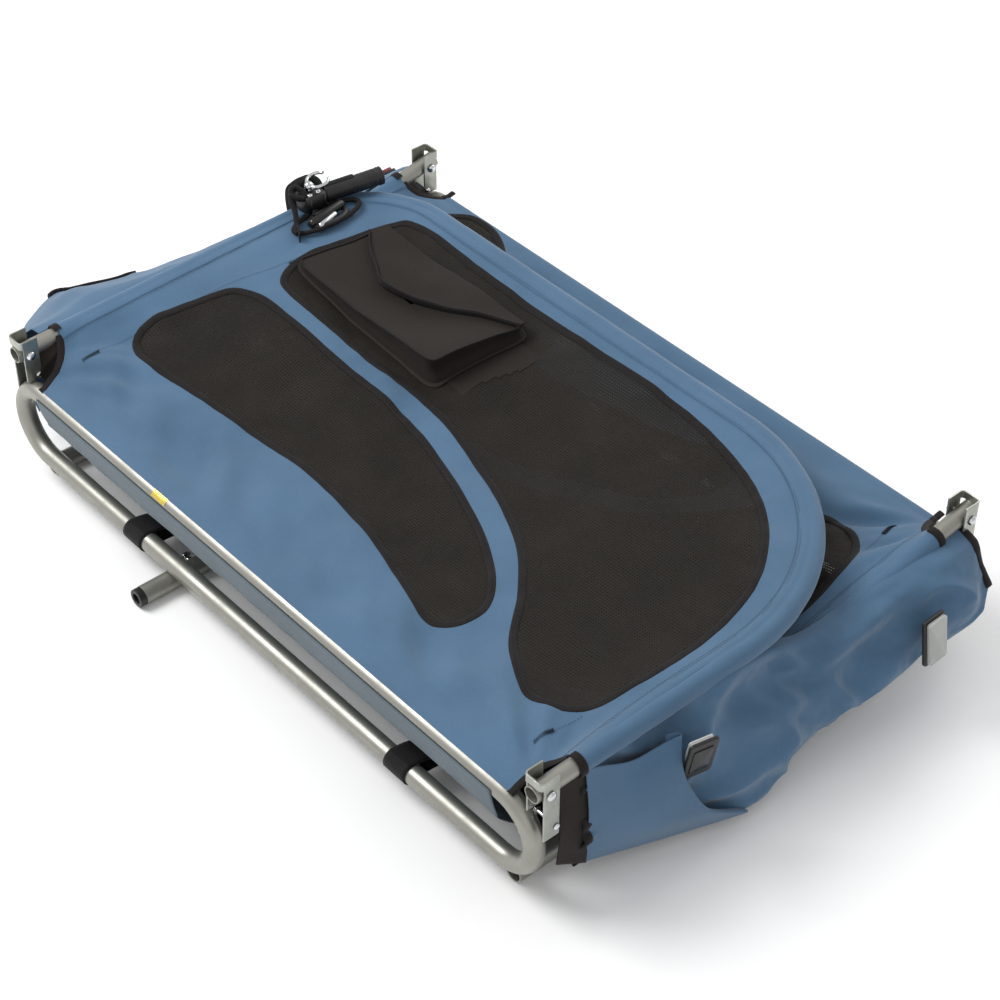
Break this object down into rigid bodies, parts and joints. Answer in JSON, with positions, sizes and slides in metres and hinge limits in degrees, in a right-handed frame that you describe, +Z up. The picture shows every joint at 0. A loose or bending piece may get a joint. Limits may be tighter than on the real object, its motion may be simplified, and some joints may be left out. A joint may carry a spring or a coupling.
{
  "type": "child bicycle trailer",
  "caption": "Child bicycle trailer folded flat with its wheels off: two side loops, fold-up hoops with cloth panels and mesh windows, pocket, end curtains and axle tube.",
  "frame": {"origin": "on the ground under the middle of the folded trailer", "axes": "+X the way it travels (white reflectors), +Y its left side, +Z up"},
  "size_m": [1.0731, 0.682, 0.2243],
  "materials": {
    "painted_tube": "silver powder coat, satin",
    "zinc_plate": "zinc plated, light scratches",
    "chrome": "bright",
    "blue_fabric": "coated plain-weave polyester",
    "skirt_fabric": "coated plain-weave polyester, greyer",
    "black_fabric": "plain-weave polyester",
    "seat_fabric": "padded woven seat",
    "webbing": "woven polypropylene webbing",
    "black_plastic": "moulded, fine grain",
    "clear_lens": "ribbed reflector lens",
    "red_lens": "ribbed reflector lens"
  },
  "bodies": {
    "base": {"axle_tube": "painted_tube", "floor_sling": "black_fabric", "front_cross_tube": "painted_tube", "front_curtain": "blue_fabric", "front_left_bracket": "zinc_plate", "front_left_floor_strap": "webbing", "front_left_foot_bolt": "zinc_plate", "front_left_pivot_bolt": "zinc_plate", "front_left_reflector_housing": "black_plastic", "front_left_reflector_lens": "clear_lens", "front_right_bracket": "zinc_plate", "front_right_floor_strap": "webbing", "front_right_foot_bolt": "zinc_plate", "front_right_pivot_bolt": "zinc_plate", "front_right_reflector_housing": "black_plastic", "front_right_reflector_lens": "clear_lens", "harness_buckle": "black_plastic", "left_axle_bush": "black_plastic", "left_harness_strap": "webbing", "left_side_loop": "painted_tube", "left_skirt": "skirt_fabric", "rear_cross_tube": "painted_tube", "rear_curtain": "blue_fabric", "rear_left_bracket": "zinc_plate", "rear_left_floor_strap": "webbing", "rear_left_foot_bolt": "zinc_plate", "rear_left_pivot_bolt": "zinc_plate", "rear_left_reflector_housing": "black_plastic", "rear_left_reflector_lens": "red_lens", "rear_right_bracket": "zinc_plate", "rear_right_floor_strap": "webbing", "rear_right_foot_bolt": "zinc_plate", "rear_right_pivot_bolt": "zinc_plate", "rear_right_reflector_housing": "black_plastic", "rear_right_reflector_lens": "red_lens", "right_axle_bush": "black_plastic", "right_harness_strap": "webbing", "right_side_loop": "painted_tube", "right_skirt": "skirt_fabric", "roof_roll": "blue_fabric", "seat_back": "seat_fabric", "seat_cushion": "seat_fabric", "tow_arm": "painted_tube"},
    "right_side": {"right_hoop": "painted_tube", "right_side_panel": "blue_fabric", "side_pocket": "black_fabric", "coupler_clamp": "black_plastic", "coupler_socket": "black_plastic", "safety_strap": "webbing", "strap_clip": "black_plastic"},
    "left_side": {"left_hoop": "painted_tube", "left_side_panel": "blue_fabric"},
    "flap": {"pocket_flap": "black_fabric"},
    "coupler_pull": {"coupler_pin": "chrome"},
    "right_lock": {"right_axle_lock_pin": "chrome"},
    "left_lock": {"left_axle_lock_pin": "chrome"}
  },
  "joints": [
    {"name": "right_hoop_fold", "type": "hinge", "parent": "base", "child": "right_side", "pos_m": [0, -0.288, 0.166], "axis": [1, 0, 0], "range_deg": [0, 88.5]},
    {"name": "left_hoop_fold", "type": "hinge", "parent": "base", "child": "left_side", "pos_m": [0, 0.288, 0.166], "axis": [1, 0, 0], "range_deg": [-100.5, 0]},
    {"name": "pocket_flap_lift", "type": "hinge", "parent": "right_side", "child": "flap", "pos_m": [-0.199, 0.15069, 0.20588], "axis": [0.9948, -0.0091, 0.1015], "range_deg": [-150, 0]},
    {"name": "coupler_pin_pull", "type": "slide", "parent": "right_side", "child": "coupler_pull", "axis": [0, -0.0262, 0.9997], "range_m": [0, 0.018], "stiffness_N_per_m": 300},
    {"name": "right_axle_lock", "type": "slide", "parent": "base", "child": "right_lock", "axis": [-1, 0, 0], "range_m": [0, 0.006], "stiffness_N_per_m": 500},
    {"name": "left_axle_lock", "type": "slide", "parent": "base", "child": "left_lock", "axis": [-1, 0, 0], "range_m": [0, 0.006], "stiffness_N_per_m": 500}
  ],
  "couplings": [
    {"joint": "left_hoop_fold", "follows": "right_hoop_fold", "ratio": -0.3}
  ]
}
